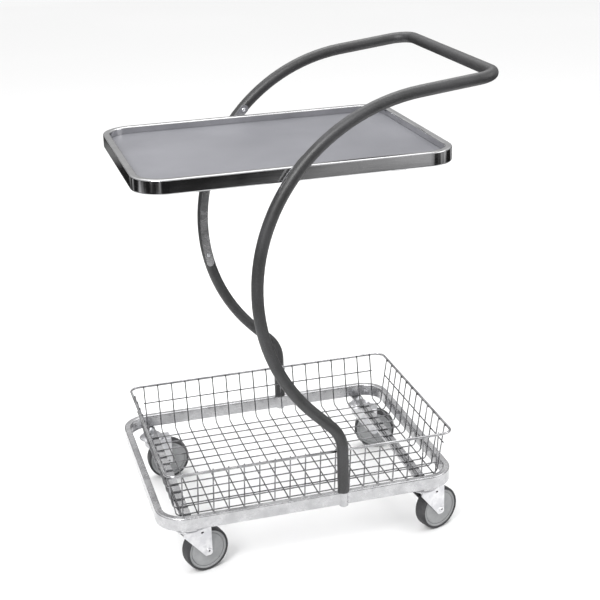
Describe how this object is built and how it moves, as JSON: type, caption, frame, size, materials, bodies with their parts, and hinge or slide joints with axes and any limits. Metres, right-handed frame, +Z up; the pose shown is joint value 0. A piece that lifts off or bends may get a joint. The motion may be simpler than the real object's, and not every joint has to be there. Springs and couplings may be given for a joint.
{
  "type": "serving trolley",
  "caption": "Two-level serving trolley: tubular base frame on swivel castors with a loose wire basket, a rimmed tray above, and one bent tube that is both uprights and push handle",
  "frame": {"origin": "middle of the bounding box at floor level", "axes": "+Z up, +X towards the handle end, +Y towards the trolley's right side seen from the handle's far end"},
  "size_m": [0.7556, 0.544, 1.0405],
  "materials": {
    "zinc": "bright zinc plate, faintly mottled, satin",
    "charcoal_coat": "charcoal powder coat with a fine grain, low sheen",
    "chrome": "polished chrome plate",
    "fastener_steel": "zinc plated screws, bolts and nuts",
    "grey_board": "mid grey laminate with a fine pebbled grain",
    "basket_wire": "bright plated welded wire",
    "castor_steel": "zinc plated pressed steel, bright satin",
    "wheel_plastic": "grey moulded plastic, matt",
    "tyre_rubber": "dark grey rubber tread"
  },
  "bodies": {
    "trolley": {"base_rail_front": "zinc", "base_rail_rear": "zinc", "cross_member_front": "zinc", "cross_member_rear": "zinc", "handle_tube": "charcoal_coat", "tray_frame": "chrome", "handle_peg_left": "zinc", "handle_peg_right": "zinc", "tray_bracket_left": "zinc", "tray_bracket_right": "zinc", "peg_screws": "fastener_steel", "panel_screws": "fastener_steel", "bracket_screws": "fastener_steel", "castor_stems": "fastener_steel", "castor_nuts": "fastener_steel", "tray_panel": "grey_board", "panel_tab_front_left": "zinc", "panel_tab_front_right": "zinc", "panel_tab_rear_left": "zinc", "panel_tab_rear_right": "zinc", "panel_tab_front_end": "zinc", "panel_tab_rear_end": "zinc", "swivel_race_front_left": "castor_steel", "swivel_race_front_right": "castor_steel", "swivel_race_rear_left": "castor_steel", "swivel_race_rear_right": "castor_steel"},
    "basket": {"basket_rim": "basket_wire", "basket_floor_long_wires": "basket_wire", "basket_floor_cross_wires": "basket_wire", "basket_wall_left": "basket_wire", "basket_wall_right": "basket_wire", "basket_wall_front": "basket_wire", "basket_wall_rear": "basket_wire"},
    "castor_front_left": {"fork_front_left": "castor_steel", "axle_front_left": "castor_steel"},
    "wheel_front_left": {"wheel_front_left": "wheel_plastic", "bush_front_left": "castor_steel", "tyre_front_left": "tyre_rubber"},
    "castor_front_right": {"fork_front_right": "castor_steel", "axle_front_right": "castor_steel"},
    "wheel_front_right": {"wheel_front_right": "wheel_plastic", "bush_front_right": "castor_steel", "tyre_front_right": "tyre_rubber"},
    "castor_rear_left": {"fork_rear_left": "castor_steel", "axle_rear_left": "castor_steel"},
    "wheel_rear_left": {"wheel_rear_left": "wheel_plastic", "bush_rear_left": "castor_steel", "tyre_rear_left": "tyre_rubber"},
    "castor_rear_right": {"fork_rear_right": "castor_steel", "axle_rear_right": "castor_steel"},
    "wheel_rear_right": {"wheel_rear_right": "wheel_plastic", "bush_rear_right": "castor_steel", "tyre_rear_right": "tyre_rubber"}
  },
  "joints": [
    {"name": "basket_lift", "type": "slide", "parent": "trolley", "child": "basket", "axis": [0, 0, 1], "range_m": [0, 0.12]},
    {"name": "swivel_front_left", "type": "hinge", "parent": "trolley", "child": "castor_front_left", "pos_m": [-0.31225, -0.224, 0.11], "axis": [0, 0, 1], "continuous": true},
    {"name": "roll_front_left", "type": "hinge", "parent": "castor_front_left", "child": "wheel_front_left", "pos_m": [-0.27669, -0.2138, 0.05], "axis": [-0.2756, 0.9613, 0], "continuous": true},
    {"name": "swivel_front_right", "type": "hinge", "parent": "trolley", "child": "castor_front_right", "pos_m": [-0.31225, 0.224, 0.11], "axis": [0, 0, 1], "continuous": true},
    {"name": "roll_front_right", "type": "hinge", "parent": "castor_front_right", "child": "wheel_front_right", "pos_m": [-0.27527, 0.22497, 0.05], "axis": [-0.0262, 0.9997, 0], "continuous": true},
    {"name": "swivel_rear_left", "type": "hinge", "parent": "trolley", "child": "castor_rear_left", "pos_m": [0.22175, -0.224, 0.11], "axis": [0, 0, 1], "continuous": true},
    {"name": "roll_rear_left", "type": "hinge", "parent": "castor_rear_left", "child": "wheel_rear_left", "pos_m": [0.25662, -0.21165, 0.05], "axis": [-0.3338, 0.9426, 0], "continuous": true},
    {"name": "swivel_rear_right", "type": "hinge", "parent": "trolley", "child": "castor_rear_right", "pos_m": [0.22175, 0.224, 0.11], "axis": [0, 0, 1], "continuous": true},
    {"name": "roll_rear_right", "type": "hinge", "parent": "castor_rear_right", "child": "wheel_rear_right", "pos_m": [0.25629, 0.21074, 0.05], "axis": [0.3584, 0.9336, 0], "continuous": true}
  ]
}
